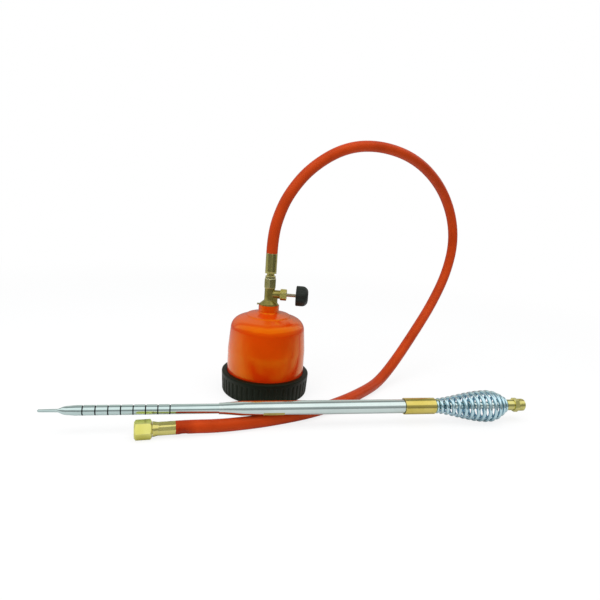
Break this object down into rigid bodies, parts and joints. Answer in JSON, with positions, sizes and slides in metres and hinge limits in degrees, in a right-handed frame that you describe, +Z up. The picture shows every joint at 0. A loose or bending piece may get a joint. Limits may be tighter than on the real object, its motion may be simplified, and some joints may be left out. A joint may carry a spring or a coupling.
{
  "type": "cartridge gas torch with hose and slotted lance",
  "caption": "Screw-together gas cartridge holder with a needle valve, a rubber hose and a slotted fire-lighting lance with a spring handle.",
  "frame": {"origin": "centre of the base cup's underside, on the floor", "axes": "+Z up, +X along the lance from its slotted tip towards its threaded inlet, within a degree"},
  "size_m": [0.526, 0.2343, 0.3109],
  "materials": {
    "cup_plastic": "black moulded plastic, slightly glossy",
    "dome_enamel": "glossy orange enamel on drawn steel",
    "tinplate": "plain tinplate",
    "seal_rubber": "soft black rubber",
    "plain_steel": "bright turned steel",
    "zinc_steel": "bright zinc plate",
    "brass": "bright turned brass",
    "spindle_brass": "dull brass",
    "knob_plastic": "black moulded plastic",
    "hose_rubber": "smooth red-orange rubber",
    "chrome_plate": "polished chrome plate"
  },
  "bodies": {
    "holder": {"dome_shell": "dome_enamel", "retaining_nut": "brass", "clamp_washer": "zinc_steel", "valve_body": "brass", "cartridge_seal": "seal_rubber", "piercing_needle": "plain_steel", "gland_nut": "brass", "hose_nut": "brass", "valve_hose_tail": "brass", "valve_ferrule": "brass", "hose": "hose_rubber", "end_ferrule": "brass", "end_hose_tail": "brass"},
    "spindle_packing": {"spindle_seal": "seal_rubber"},
    "spindle": {"valve_spindle": "spindle_brass", "knob": "knob_plastic"},
    "cartridge": {"gas_cartridge": "tinplate"},
    "cup": {"base_cup": "cup_plastic"},
    "swivel": {"swivel_nut": "brass"},
    "lance": {"burner_tube": "chrome_plate", "outer_tube": "chrome_plate", "air_sleeve": "brass", "gas_jet": "brass", "feed_tube": "chrome_plate", "spring_handle": "zinc_steel", "inlet_fitting": "brass"}
  },
  "joints": [
    {"name": "spindle_travel", "type": "slide", "parent": "holder", "child": "spindle_packing", "axis": [0.9659, -0.2588, 0], "range_m": [0, 0.0012]},
    {"name": "knob_turn", "type": "hinge", "parent": "spindle_packing", "child": "spindle", "pos_m": [0, 0, 0.1213], "axis": [0.9659, -0.2588, 0], "range_deg": [0, 540]},
    {"name": "cartridge_travel", "type": "slide", "parent": "holder", "child": "cartridge", "axis": [0, 0, -1], "range_m": [0, 0.016]},
    {"name": "cup_turn", "type": "hinge", "parent": "cartridge", "child": "cup", "pos_m": [0, 0, 0], "axis": [0, 0, -1], "range_deg": [0, 1440]},
    {"name": "nut_spin", "type": "hinge", "parent": "holder", "child": "swivel", "pos_m": [-0.13803, -0.11455, 0.00855], "axis": [-0.9972, -0.0748, 0], "continuous": true},
    {"name": "lance_lift", "type": "slide", "parent": "holder", "child": "lance", "axis": [0, 0, 1], "range_m": [0, 0.15]}
  ],
  "couplings": [
    {"joint": "spindle_travel", "follows": "knob_turn", "m_per_rad": 0.00012732},
    {"joint": "cartridge_travel", "follows": "cup_turn", "m_per_rad": 0.0006366}
  ]
}
